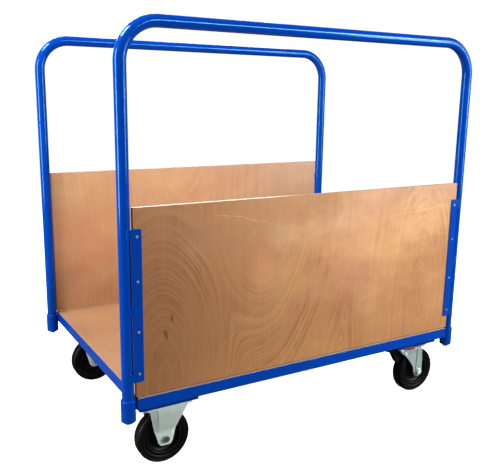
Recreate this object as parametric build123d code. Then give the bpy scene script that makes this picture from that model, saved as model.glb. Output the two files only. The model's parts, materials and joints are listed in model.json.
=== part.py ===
from build123d import *
import os
from math import sqrt, radians, cos, sin, tan, pi

# Plywood-sided platform trolley with two tubular hoops.
# Millimetres. +X runs from the fixed castors to the swivel castors, +Z is up,
# the origin is on the floor under the middle of the deck.

os.makedirs("parts", exist_ok=True)

# ---------------------------------------------------------------- dimensions
HX, HY = 590.0, 393.0          # hoop uprights, from the centre
TUBE_R, TUBE_WALL = 16.0, 2.0  # hoop tube
BEND_R = 100.0                 # hoop bend, on the centre line
HOOP_Z = 1210.0                # centre line of the top bar
FX, FY = 570.0, 410.0          # outer faces of the deck frame
RAIL_TOP, RAIL_H = 251.0, 33.0
RAIL_T, RAIL_LEG = 3.0, 45.0
DECK_T, DECK_TOP = 12.0, 253.5
DECK_GAP = 0.5
BEARER_W, BEARER_WALL = 30.0, 2.0
BEARER_X = (-465.0, -232.5, 0.0, 232.5, 465.0)
PANEL_T, PANEL_X, PANEL_TOP = 12.0, 571.0, 761.5
PANEL_Z0 = 256.0               # the panels hang clear of the deck
PANEL_IN = 395.0               # inner face of a panel
STRIP_X0, STRIP_X1 = 550.0, 578.0
STRIP_Z0, STRIP_Z1, STRIP_T = 299.0, 708.0, 3.0
STRIP_SCREW_X = 562.5
STRIP_SCREW_Z = (321.0, 436.0, 571.0, 688.0)
STRIP_TAB_Z = (311.0, 494.0, 693.0)
SOCKET_R, SOCKET_BORE = 20.0, 16.5
SOCKET_Z0, SOCKET_Z1, SOCKET_BASE = 186.0, 248.0, 5.0
BOLT_R = 5.0                   # M10
CX, CY = 465.0, 318.0          # castor centres
BEAM_HX, BEAM_HY = 88.5, 381.0
MOUNT_Z = 195.0                # overall height of a castor
BEAM_T = 3.0
PLATE_T = 5.0
HOLE_DX, HOLE_DY = 52.5, 40.0  # castor bolt pattern, half spacings
WHEEL_R, TYRE_HW = 80.0, 20.0
RIM_R = 57.0
HUB_HW, LEG_IN, LEG_T = 23.0, 25.0, 4.0
TRAIL = 48.0                   # offset of a swivel wheel from its kingpin
AXLE_R = 6.0                   # M12
SLEEVE_R, BEARING_R = 8.0, 11.0
RUN = 0.05                     # radial clearance of a running fit
BRAKE_PIN = (-14.0, 156.0)     # from the kingpin axis, and above the floor
BRAKE_HW = 11.0


# ------------------------------------------------------------------- helpers
def save(name, shape):
    shape = shape if isinstance(shape, (Solid, Compound, Part)) else Compound(children=list(shape))
    export_step(shape, f"parts/{name}.step")


def box(x0, x1, y0, y1, z0, z1):
    return Pos((x0 + x1) / 2, (y0 + y1) / 2, (z0 + z1) / 2) * Box(abs(x1 - x0), abs(y1 - y0), abs(z1 - z0))


def cyl(r, x, y, z0, z1):
    return Pos(x, y, (z0 + z1) / 2) * Cylinder(r, z1 - z0)


def cyl_y(r, x, z, y0, y1):
    return Pos(x, (y0 + y1) / 2, z) * Rot(90, 0, 0) * Cylinder(r, abs(y1 - y0))


def prism_y(outline, y0, y1):
    """A closed wire or point list in X and Z, made solid from y0 to y1."""
    pl = Plane(origin=(0, max(y0, y1), 0), x_dir=(1, 0, 0), z_dir=(0, -1, 0))
    line = Polyline(*outline, close=True) if isinstance(outline, (list, tuple)) else outline
    return extrude(pl * make_face(line), amount=abs(y1 - y0), dir=(0, -1, 0))


def prism_x(points, x0, x1):
    """A point list in Y and Z, made solid from x0 to x1."""
    pl = Plane(origin=(min(x0, x1), 0, 0), x_dir=(0, 1, 0), z_dir=(1, 0, 0))
    return extrude(pl * make_face(Polyline(*points, close=True)), amount=abs(x1 - x0), dir=(1, 0, 0))


def prism_z(points, z0, z1):
    return extrude(Pos(0, 0, z0) * make_face(Polyline(*points, close=True)), amount=z1 - z0, dir=(0, 0, 1))


def rounded_plate(hx, hy, r, z0, z1):
    return extrude(Pos(0, 0, z0) * RectangleRounded(2 * hx, 2 * hy, r), amount=z1 - z0, dir=(0, 0, 1))


def hexagon(af, z0, z1):
    """Hexagonal prism with lightly turned-off corners, across flats af."""
    h = extrude(Pos(0, 0, z0) * RegularPolygon(af / 2, 6, major_radius=False), amount=z1 - z0, dir=(0, 0, 1))
    r = af / 2 / cos(pi / 6)
    cone = revolve(Plane.XZ * make_face(Polyline((0, z0), (r, z0), (r, z1 - 0.22 * (r - af / 2) - 0.6), (af / 2 * 0.97, z1), (0, z1), close=True)), Axis.Z)
    return h & cone


def tube_path(y):
    b = BEND_R
    z1 = HOOP_Z - b
    foot = SOCKET_Z0 + SOCKET_BASE
    s = b * (1 - cos(pi / 4))
    l1 = Line((-HX, y, foot), (-HX, y, z1))
    a1 = ThreePointArc((-HX, y, z1), (-HX + s, y, HOOP_Z - s), (-HX + b, y, HOOP_Z))
    l2 = Line((-HX + b, y, HOOP_Z), (HX - b, y, HOOP_Z))
    a2 = ThreePointArc((HX - b, y, HOOP_Z), (HX - s, y, HOOP_Z - s), (HX, y, z1))
    l3 = Line((HX, y, z1), (HX, y, foot))
    return Wire([l1, a1, l2, a2, l3])


SIDES = (("front", -1), ("back", 1))
ENDS = (("left", -1), ("right", 1))

# ---------------------------------------------------------------- deck frame
# Angle rails, mitred at the corners, standing leg outside and lying leg inside.
z0, z1 = RAIL_TOP - RAIL_H, RAIL_TOP
for name, s in SIDES:
    sec = [(s * FY, z0 + 1.2), (s * FY, z1 - 0.8), (s * (FY - 0.8), z1), (s * (FY - RAIL_T + 0.6), z1),
           (s * (FY - RAIL_T), z1 - 0.6), (s * (FY - RAIL_T), z0 + RAIL_T), (s * (FY - RAIL_LEG), z0 + RAIL_T),
           (s * (FY - RAIL_LEG), z0), (s * (FY - 1.2), z0)]
    rail = prism_x(sec, -FX, FX)
    m = RAIL_LEG + 20
    rail = rail & prism_z([(-FX, s * FY), (FX, s * FY), (FX - m, s * (FY - m)), (-FX + m, s * (FY - m))], z0 - 1, z1 + 1)
    save(f"side_rail_{name}", rail)
for name, s in ENDS:
    sec = [(s * FX, z0 + 1.2), (s * FX, z1 - 0.8), (s * (FX - 0.8), z1), (s * (FX - RAIL_T + 0.6), z1),
           (s * (FX - RAIL_T), z1 - 0.6), (s * (FX - RAIL_T), z0 + RAIL_T), (s * (FX - RAIL_LEG), z0 + RAIL_T),
           (s * (FX - RAIL_LEG), z0), (s * (FX - 1.2), z0)]
    rail = prism_y(sec, -FY, FY)
    m = RAIL_LEG + 20
    rail = rail & prism_z([(s * FX, -FY), (s * FX, FY), (s * (FX - m), FY - m), (s * (FX - m), -FY + m)], z0 - 1, z1 + 1)
    save(f"end_rail_{name}", rail)

# Deck bearers: rectangular tubes across the frame, on the lying legs.
BEARER_Z0 = RAIL_TOP - RAIL_H + RAIL_T
BEARER_Z1 = DECK_TOP - DECK_T
BEARER_HY = FY - RAIL_T - DECK_GAP
SCREW_Y = (-300.0, -100.0, 100.0, 300.0)
bearers = []
for x in BEARER_X:
    b = box(x - BEARER_W / 2, x + BEARER_W / 2, -BEARER_HY, BEARER_HY, BEARER_Z0, BEARER_Z1)
    b -= box(x - BEARER_W / 2 + BEARER_WALL, x + BEARER_W / 2 - BEARER_WALL, -BEARER_HY - 1, BEARER_HY + 1,
             BEARER_Z0 + BEARER_WALL, BEARER_Z1 - BEARER_WALL)
    for y in SCREW_Y:
        b -= cyl(2.0, x, y, BEARER_Z0 - 1, BEARER_Z1 + 1)
    bearers.append(b)
save("deck_bearers", bearers)

# Deck board, let into the frame and standing 2.5 mm proud of it.
deck = box(-(FX - RAIL_T - DECK_GAP), FX - RAIL_T - DECK_GAP, -BEARER_HY, BEARER_HY, DECK_TOP - DECK_T, DECK_TOP)
deck = chamfer(deck.edges().group_by(Axis.Z)[-1], 0.5)
screws = []
for x in BEARER_X:
    for y in SCREW_Y:
        deck -= cyl(2.0, x, y, DECK_TOP - DECK_T - 1, DECK_TOP - 4)
        head = fillet(cyl(4.5, x, y, BEARER_Z0 - 2.6, BEARER_Z0).edges().group_by(Axis.Z)[0], 1.2)
        screws.append(head + cyl(2.0, x, y, BEARER_Z0 - 0.5, DECK_TOP - 4))
save("deck_board", deck)
save("deck_screws", screws)

# Castor beams: folded trays welded under the rails.
for name, s in ENDS:
    cx = s * CX
    beam = box(cx - BEAM_HX, cx + BEAM_HX, -BEAM_HY, BEAM_HY, MOUNT_Z, z0)
    beam = fillet(beam.edges().filter_by(Axis.Z), 4)
    beam = chamfer(beam.edges().group_by(Axis.Z)[0], 1.2)
    beam -= Pos(cx, 0, 0) * rounded_plate(BEAM_HX - BEAM_T, BEAM_HY - BEAM_T, 2, MOUNT_Z + BEAM_T, z0 + 1)
    for y in (-CY, CY):
        for dx in (-HOLE_DX, HOLE_DX):
            for dy in (-HOLE_DY, HOLE_DY):
                beam -= cyl(5.5, cx + dx, y + dy, MOUNT_Z - 1, MOUNT_Z + BEAM_T + 1)
    save(f"castor_beam_{name}", beam)

# ------------------------------------------------- corner sockets and hoops
socket_bolts = []
for en, sx in ENDS:
    for sn, sy in SIDES:
        x, y = sx * HX, sy * HY
        body = Cylinder(SOCKET_R, SOCKET_Z1 - SOCKET_Z0)
        body = chamfer(body.edges().group_by(Axis.Z)[0], 3.0)
        body = fillet(body.edges().group_by(Axis.Z)[-1], 1.6)
        body = Pos(x, y, (SOCKET_Z0 + SOCKET_Z1) / 2) * body
        # weld saddle against the end rail
        body += box(sx * FX, sx * (HX - 17.0), y - 9, y + 9, RAIL_TOP - RAIL_H + 1.5, SOCKET_Z1 - 2.0)
        body -= cyl(SOCKET_BORE, x, y, SOCKET_Z0 + SOCKET_BASE, SOCKET_Z1 + 1)
        body -= cyl(BOLT_R + 0.5, x, y, SOCKET_Z0 - 1, SOCKET_Z0 + SOCKET_BASE + 1)
        save(f"corner_socket_{sn}_{en}", body)
        head = Pos(x, y, 0) * Rot(180, 0, 15 * sx) * hexagon(17, 0, 6.4)
        head = Pos(0, 0, SOCKET_Z0 - 1.6) * head
        washer = cyl(10.0, x, y, SOCKET_Z0 - 1.6, SOCKET_Z0)
        socket_bolts.append(head + washer + cyl(BOLT_R, x, y, SOCKET_Z0 - 4, SOCKET_Z0 + 21))
save("socket_bolts", socket_bolts)

for name, s in SIDES:
    y = s * HY
    path = tube_path(y)
    start = Plane(origin=(-HX, y, SOCKET_Z0 + SOCKET_BASE), z_dir=(0, 0, 1))
    hoop = sweep(start * (Circle(TUBE_R) - Circle(TUBE_R - TUBE_WALL)), path=path)
    for x in (-HX, HX):
        plug = cyl(TUBE_R - TUBE_WALL + 0.5, x, y, SOCKET_Z0 + SOCKET_BASE, SOCKET_Z0 + SOCKET_BASE + 14)
        plug -= cyl(BOLT_R, x, y, SOCKET_Z0 + SOCKET_BASE - 1, SOCKET_Z0 + SOCKET_BASE + 20)
        hoop += plug
    save(f"hoop_{name}", hoop)

# --------------------------------------------------------- panels and strips
panel_screws = []
for name, s in SIDES:
    yi, yo = s * PANEL_IN, s * (PANEL_IN + PANEL_T)
    ys = s * (PANEL_IN + PANEL_T + STRIP_T)
    panel = box(-PANEL_X, PANEL_X, yi, yo, PANEL_Z0, PANEL_TOP)
    panel = chamfer(panel.edges().filter_by(Axis.X), 0.5)
    for en, sx in ENDS:
        for z in STRIP_SCREW_Z:
            panel -= cyl_y(2.2, sx * STRIP_SCREW_X, z, s * (PANEL_IN + 1.5), s * (PANEL_IN + PANEL_T + 1))
            head = cyl_y(3.7, sx * STRIP_SCREW_X, z, ys, ys + s * 2.4)
            head = fillet(head.edges().sort_by(Axis.Y)[0 if s < 0 else -1], 1.1)
            slot = box(-2.4, 2.4, -0.5, 0.5, -2, 2) + box(-0.5, 0.5, -2.4, 2.4, -2, 2)
            slot = Pos(sx * STRIP_SCREW_X, ys + s * 3.0, z) * Rot(90, 0, 0) * Rot(0, 0, 20 + 7 * sx + z) * slot
            panel_screws.append(head - slot + cyl_y(2.2, sx * STRIP_SCREW_X, z, s * (PANEL_IN + 1.5), ys))
    save(f"panel_{name}", panel)
    for en, sx in ENDS:
        strip = Pos(sx * (STRIP_X0 + STRIP_X1) / 2, (yo + ys) / 2, (STRIP_Z0 + STRIP_Z1) / 2) * Box(
            STRIP_X1 - STRIP_X0, STRIP_T, STRIP_Z1 - STRIP_Z0)
        inner = [e for e in strip.edges().filter_by(Axis.Y) if abs(abs(e.center().X) - STRIP_X0) < 0.1]
        strip = fillet(inner, 6.0)
        for z in STRIP_TAB_Z:
            h = 13 if z > 600 else 11
            tab = box(sx * (STRIP_X1 - 1), sx * (STRIP_X1 + 10), s * (PANEL_IN + 7.5), ys - s * 0.3, z - h, z + h)
            tab -= box(sx * (STRIP_X1 - 10), sx * (PANEL_X + 1.5), s * (PANEL_IN - 5), yo, z - 20, z + 20)
            tab -= cyl(TUBE_R, sx * HX, s * HY, z - 30, z + 30)
            strip += tab
        for z in STRIP_SCREW_Z:
            strip -= cyl_y(2.2, sx * STRIP_SCREW_X, z, yo - s, ys + s)
        save(f"panel_strip_{name}_{en}", strip)
save("panel_screws", panel_screws)

# ------------------------------------------------------------ castor bolting
bolts, nuts = [], []
for cx in (-CX, CX):
    for cy in (-CY, CY):
        for dx in (-HOLE_DX, HOLE_DX):
            for dy in (-HOLE_DY, HOLE_DY):
                x, y = cx + dx, cy + dy
                head = Pos(x, y, MOUNT_Z + BEAM_T) * hexagon(17, 0, 6.4)
                bolts.append(head + cyl(BOLT_R, x, y, MOUNT_Z - PLATE_T - 11, MOUNT_Z + BEAM_T + 1))
                nut = Pos(x, y, MOUNT_Z - PLATE_T) * Rot(180, 0, 0) * hexagon(17, 0, 8.4)
                nut -= cyl(BOLT_R, x, y, MOUNT_Z - PLATE_T - 20, MOUNT_Z)
                nuts.append(nut)
save("castor_bolts", bolts)
save("castor_nuts", nuts)


# -------------------------------------------------------------------- wheels
def half_round(points):
    """Mirror a list of (radius, offset) across offset 0 and close it."""
    return points + [(r, -o) for r, o in reversed(points)]


def revolve_y(face_points):
    """Revolve a (radius, offset along Y) outline about the Y axis."""
    return revolve(Plane.XY * make_face(Polyline(*face_points, close=True)), Axis.Y)


def wheel_parts():
    tyre = [(RIM_R, 14.5), (RIM_R + 1.5, 17.5), (RIM_R + 5, 19.0), (RIM_R + 10.5, 19.6), (RIM_R + 11.5, 18.6),
            (RIM_R + 12.8, 18.6), (RIM_R + 13.6, TYRE_HW - 0.2), (RIM_R + 16.0, TYRE_HW), (RIM_R + 18.6, 18.9)]
    for a in (15, 35, 55, 75, 90):
        tyre.append((WHEEL_R - 7.5 + 7.5 * sin(radians(a)) - (0.0 if a == 90 else 0.15),
                     9.5 + 8.5 * cos(radians(a))))
    tyre.append((WHEEL_R, 4.0))
    t = revolve_y(half_round(tyre))
    centre = [(BEARING_R, HUB_HW), (16.5, HUB_HW), (17.5, HUB_HW - 1), (19.5, 12.0), (22.0, 7.5), (26.0, 5.5),
              (38.0, 4.5), (44.0, 6.5), (47.5, 11.5), (48.5, 15.5), (50.0, 16.8), (54.5, 16.8), (RIM_R - 0.6, 15.2),
              (RIM_R, 14.2)]
    c = revolve_y(half_round(centre))
    b = revolve_y(half_round([(SLEEVE_R + RUN, 20.5), (BEARING_R, 20.5)]))
    return t, c, b


def axle_sleeve():
    return revolve_y(half_round([(AXLE_R, LEG_IN), (SLEEVE_R, LEG_IN)]))


def axle_bolt(face):
    """Axle bolt along Y, head on the -Y side, for a fork whose outer faces are at +-face."""
    head = Pos(0, -face, 0) * Rot(90, 0, 0) * hexagon(18, 0, 7.5)
    shank = cyl_y(AXLE_R, 0, 0, -face - 1, face + 13)
    shank = chamfer(shank.edges().sort_by(Axis.Y)[-1], 1.0)
    nut = Pos(0, face, 0) * Rot(-90, 0, 0) * hexagon(18, 0, 10)
    nut -= cyl_y(AXLE_R, 0, 0, 0, face + 30)
    return head + shank, nut


TYRE, CENTRE, BEARING = wheel_parts()
SLEEVE = axle_sleeve()


# ------------------------------------------------------------- fixed castors
def leg_section(half, fold, y, back, t):
    """Horizontal section of a pressed fork leg with two raked wings."""
    return [(-half, y - back), (-fold, y), (fold, y), (half, y - back),
            (half, y - back - t), (fold - 0.8, y - t), (-fold + 0.8, y - t), (-half, y - back - t)]


def section_face(pts, z):
    return Pos(0, 0, z) * make_face(Polyline(*pts, close=True))


def fixed_fork():
    plate = rounded_plate(72, 63, 10, MOUNT_Z - PLATE_T, MOUNT_Z)
    plate = fillet(plate.edges().group_by(Axis.Z)[-1], 1.5)
    for sx in (-1, 1):
        plate += box(sx * 68.2, sx * 72, -50, 50, MOUNT_Z - 12, MOUNT_Z - PLATE_T + 1)
    leg = None
    levels = [(MOUNT_Z - PLATE_T + 1, 60, 40, 63.0, 6.0), (172.0, 52, 34, 59.0, 6.0), (104.0, 31.5, 22.5, LEG_IN + LEG_T + 1.0, 4.0),
              (92.0, 28, 20.5, LEG_IN + LEG_T, 2.5), (60.0, 19.0, 17.8, LEG_IN + LEG_T, 0.6)]
    for a, b in zip(levels[:-1], levels[1:]):
        piece = loft([section_face(leg_section(*b[1:], LEG_T), b[0]), section_face(leg_section(*a[1:], LEG_T), a[0])], ruled=True)
        leg = piece if leg is None else leg + piece
    outline = [(-70, 200), (-70, 150), (-19, 66)]
    for a in range(200, 341, 14):
        outline.append((0 + 11 * (1 if a > 270 else -1) + 8 * cos(radians(a)), 68 + 8 * sin(radians(a))))
    outline += [(19, 66), (70, 150), (70, 200)]
    leg = leg & prism_y(outline, 0, 80)
    leg -= cyl_y(AXLE_R, 0, WHEEL_R, 0, 80)
    fork = plate + leg + mirror(leg, Plane.XZ)
    for dx in (-HOLE_DX, HOLE_DX):
        for dy in (-HOLE_DY, HOLE_DY):
            fork -= cyl(5.5, dx, dy, MOUNT_Z - PLATE_T - 1, MOUNT_Z + 1)
    return fork


FIXED = fixed_fork()
fb, fn, fs = [], [], []
for name, s in SIDES:
    place = Pos(-CX, s * CY, 0)
    save(f"fixed_fork_{name}", place * FIXED)
    at = Pos(-CX, s * CY, WHEEL_R)
    save(f"tyre_fixed_{name}", at * TYRE)
    save(f"wheel_centre_fixed_{name}", at * CENTRE)
    save(f"bearing_fixed_{name}", at * BEARING)
    bolt, nut = axle_bolt(LEG_IN + LEG_T)
    turn = Rot(0, 0, 0) if s < 0 else Rot(0, 0, 180)
    fb.append(at * turn * bolt)
    fn.append(at * turn * nut)
    fs.append(at * SLEEVE)
save("axle_bolts_fixed", fb)
save("axle_nuts_fixed", fn)
save("axle_sleeves_fixed", fs)

# ------------------------------------------------------------ swivel castors
CROWN_TOP = 174.0
BALL_Z, BALL_R, BALL_RING = 181.0, 3.95, 26.0
GROOVE_R = 4.1
RIB = 2.5


def swivel_plate():
    plate = rounded_plate(70, 55, 10, MOUNT_Z - PLATE_T, MOUNT_Z)
    plate = fillet(plate.edges().group_by(Axis.Z)[-1], 1.5)
    race = revolve(Plane.XZ * make_face(Polyline((8.0, BALL_Z + 1), (36.0, BALL_Z + 1), (38.0, BALL_Z + 3), (38.0, MOUNT_Z - PLATE_T - 2),
                                                 (41.0, MOUNT_Z - PLATE_T), (41.0, MOUNT_Z - 1), (8.0, MOUNT_Z - 1), close=True)), Axis.Z)
    plate += race
    plate -= Pos(0, 0, BALL_Z) * Torus(BALL_RING, GROOVE_R)
    plate -= cyl(8.0, 0, 0, 170, MOUNT_Z + 1)
    for dx in (-HOLE_DX, HOLE_DX):
        for dy in (-HOLE_DY, HOLE_DY):
            plate -= cyl(5.5, dx, dy, MOUNT_Z - PLATE_T - 1, MOUNT_Z + 1)
    return plate


def kingpin():
    pin = revolve(Plane.XZ * make_face(Polyline((0, 165.7), (9.5, 165.7), (11.5, 167.2), (11.5, CROWN_TOP - LEG_T - 0.3), (8.0, CROWN_TOP - LEG_T - 0.3),
                                                (8.0, MOUNT_Z), (0, MOUNT_Z), close=True)), Axis.Z)
    return pin


def swivel_fork():
    yo, yi, t = LEG_IN + LEG_T, LEG_IN, LEG_T
    top, r = CROWN_TOP, 7.0
    sec = [(-yo, 40), (-yi, 40), (-yi, top - t - 3), (-yi + 3, top - t), (yi - 3, top - t), (yi, top - t - 3), (yi, 40), (yo, 40)]
    for a in (0, 22.5, 45, 67.5, 90):
        sec.append((yo - r + r * cos(radians(a)), top - r + r * sin(radians(a))))
    for a in (90, 112.5, 135, 157.5, 180):
        sec.append((-yo + r + r * cos(radians(a)), top - r + r * sin(radians(a))))
    shell = prism_x(sec, -60, 80)
    # side outline: swept leading edge, rounded foot, upright trailing edge
    lead = Spline((-45, 166), (-20, 151.5), (7, 124), (24, 97.5), (TRAIL - 18.6, 76.0), tangents=[(1, -0.35), (0.16, -1)])
    foot = ThreePointArc((TRAIL - 18.6, 76.0), (TRAIL, WHEEL_R - 19.0), (TRAIL + 18.6, 76.0))
    trail = Polyline((TRAIL + 18.6, 76.0), (TRAIL + 18.2, 120), (TRAIL + 15, 160), (TRAIL + 12, 176), (-45, 176), (-45, 166))
    shell = shell & prism_y(Wire(lead.edges() + foot.edges() + trail.edges()), -60, 60)
    plan = make_face(Polyline((0, 44), (TRAIL + 30, 44), (TRAIL + 30, -44), (0, -44), close=True)) + Circle(44)
    shell = shell & extrude(plan, amount=260, dir=(0, 0, 1))
    # pressed rib down the outside of each leg
    for s in (-1, 1):
        rib = prism_y([(TRAIL - 9.5, 168), (TRAIL - 12, 100), (TRAIL - 13.5, 80), (TRAIL - 10, 71), (TRAIL, 66.5), (TRAIL + 10, 71),
                       (TRAIL + 13.5, 80), (TRAIL + 13.2, 120), (TRAIL + 11, 158), (TRAIL + 9, 168)], s * yo, s * (yo + RIB))
        rib = fillet(rib.edges().filter_by(Axis.Y), 2.5)
        outer = rib.faces().sort_by(Axis.Y)[0 if s < 0 else -1]
        rib = chamfer(outer.edges(), 1.4)
        shell += rib
        shell += prism_y([(TRAIL - 9, 166), (TRAIL - 9, 168), (TRAIL + 9, 168), (TRAIL + 9, 166)], s * (yo - 2), s * (yo + 0.5))
    race = revolve(Plane.XZ * make_face(Polyline((0, top - 1), (36.5, top - 1), (36.5, BALL_Z - 3), (34.5, BALL_Z - 1), (0, BALL_Z - 1), close=True)), Axis.Z)
    shell += race
    shell -= Pos(0, 0, BALL_Z) * Torus(BALL_RING, GROOVE_R)
    shell -= cyl(8.0 + RUN, 0, 0, 150, 200)
    shell -= cyl_y(AXLE_R, TRAIL, WHEEL_R, -60, 60)
    shell -= cyl_y(3.5, BRAKE_PIN[0], BRAKE_PIN[1], -60, 60)
    return shell


def seal_ring():
    return revolve(Plane.XZ * make_face(Polyline((38.4, CROWN_TOP), (42.0, CROWN_TOP), (42.0, CROWN_TOP + 8.0), (41.0, CROWN_TOP + 9.4),
                                                 (39.2, CROWN_TOP + 9.4), (38.4, CROWN_TOP + 8.6), close=True)), Axis.Z)


def ball_ring():
    return [Rot(0, 0, i * 22.5) * Pos(BALL_RING, 0, BALL_Z) * Sphere(BALL_R) for i in range(16)]


def brake_lever():
    px, pz = BRAKE_PIN
    shoe = [(-36.0, 121.0), (-29.5, 121.5), (-18.5, 134.5), (-10.5, 142.5), (-6.5, 150.0)]
    pts = shoe + [(px + 7.2, pz + 1.5), (px + 4.5, pz + 6.0), (px, pz + 7.5), (px - 12, pz + 8.6), (-52, 168.5),
                  (-80, 178.0), (-99, 185.5), (-103, 184.0), (-102.5, 179.5), (-84, 171.0), (-66, 166.0), (-60, 163.0), (-57.0, 156.0)]
    lever = prism_y(pts, -BRAKE_HW, BRAKE_HW)
    # wider tread at the free end
    tread = prism_y([(-70, 174.8), (-80, 178.4), (-99, 186.0), (-103.5, 184.0), (-103, 179.0), (-84, 170.6), (-70, 166.6)],
                    -BRAKE_HW - 9, BRAKE_HW + 9)
    tread = fillet(tread.edges().filter_by(Axis.Z, reverse=False) if False else tread.edges().filter_by(Axis.Y).sort_by(Axis.X)[:2], 1.5)
    lever += tread
    for i in range(4):
        x = -78 - 6 * i
        z = 178.4 + (x + 80) * (-7.6 / 19.0) + 0.0
        lever -= Pos(x, 0, z + 0.4) * Rot(0, 21, 0) * Box(1.6, 2 * BRAKE_HW + 12, 2.4)
    lever -= cyl_y(3.5 + RUN, px, pz, -60, 60)
    return lever


def brake_pin():
    px, pz = BRAKE_PIN
    f = LEG_IN + LEG_T
    pin = cyl_y(3.5, px, pz, -f, f)
    for s in (-1, 1):
        head = cyl_y(6.0, px, pz, s * f, s * (f + 2.2))
        pin += fillet(head.edges().sort_by(Axis.Y)[0 if s < 0 else -1], 1.0)
        # spacer between the lever and the leg
        ring = cyl_y(6.0, px, pz, s * (BRAKE_HW + 0.4), s * LEG_IN) - cyl_y(3.4, px, pz, -f, f)
        pin += ring
    return pin


PLATE, PIN, FORK, SEAL = swivel_plate(), kingpin(), swivel_fork(), seal_ring()
LEVER, BPIN = brake_lever(), brake_pin()
for name, s in SIDES:
    at = Pos(CX, s * CY, 0)
    save(f"swivel_plate_{name}", at * PLATE)
    save(f"kingpin_{name}", at * PIN)
    save(f"swivel_fork_{name}", at * FORK)
    save(f"seal_ring_{name}", at * SEAL)
    save(f"ball_ring_{name}", [at * b for b in ball_ring()])
    save(f"brake_lever_{name}", at * LEVER)
    save(f"brake_pin_{name}", at * BPIN)
    ax = Pos(CX + TRAIL, s * CY, WHEEL_R)
    bolt, nut = axle_bolt(LEG_IN + LEG_T + RIB)
    turn = Rot(0, 0, 0) if s < 0 else Rot(0, 0, 180)
    save(f"axle_bolt_swivel_{name}", [ax * turn * bolt, ax * turn * nut])
    save(f"axle_sleeve_swivel_{name}", ax * SLEEVE)
    save(f"tyre_swivel_{name}", ax * TYRE)
    save(f"wheel_centre_swivel_{name}", ax * CENTRE)
    save(f"bearing_swivel_{name}", ax * BEARING)
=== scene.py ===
import json
import math
import random

import bmesh
import bpy
from mathutils import Matrix, Vector

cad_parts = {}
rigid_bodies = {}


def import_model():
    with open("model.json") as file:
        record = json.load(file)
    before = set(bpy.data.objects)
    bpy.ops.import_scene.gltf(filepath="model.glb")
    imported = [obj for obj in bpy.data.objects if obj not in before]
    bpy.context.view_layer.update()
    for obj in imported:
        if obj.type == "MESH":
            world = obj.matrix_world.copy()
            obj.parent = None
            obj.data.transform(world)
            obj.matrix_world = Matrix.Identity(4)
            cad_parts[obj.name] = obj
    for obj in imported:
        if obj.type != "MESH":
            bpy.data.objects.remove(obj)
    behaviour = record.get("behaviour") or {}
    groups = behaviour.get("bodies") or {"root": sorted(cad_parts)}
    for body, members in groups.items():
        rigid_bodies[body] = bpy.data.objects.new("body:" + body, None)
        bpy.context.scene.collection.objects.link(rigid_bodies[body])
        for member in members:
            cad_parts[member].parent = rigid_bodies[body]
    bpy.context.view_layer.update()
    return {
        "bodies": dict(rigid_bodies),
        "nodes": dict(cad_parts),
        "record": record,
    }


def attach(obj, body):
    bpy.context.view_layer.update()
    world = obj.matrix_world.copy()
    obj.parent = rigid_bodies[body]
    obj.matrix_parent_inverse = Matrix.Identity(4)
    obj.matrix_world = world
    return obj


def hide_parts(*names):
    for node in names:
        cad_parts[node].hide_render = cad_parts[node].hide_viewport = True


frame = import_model()
NODES = frame["nodes"]
SLOTS = {s["node"]: s["material_slot"] for s in frame["record"]["subparts"]}
BODY = {}
for b, o in frame["bodies"].items():
    for c in o.children:
        BODY[c.name] = b
mm = 0.001
random.seed(7)


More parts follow.
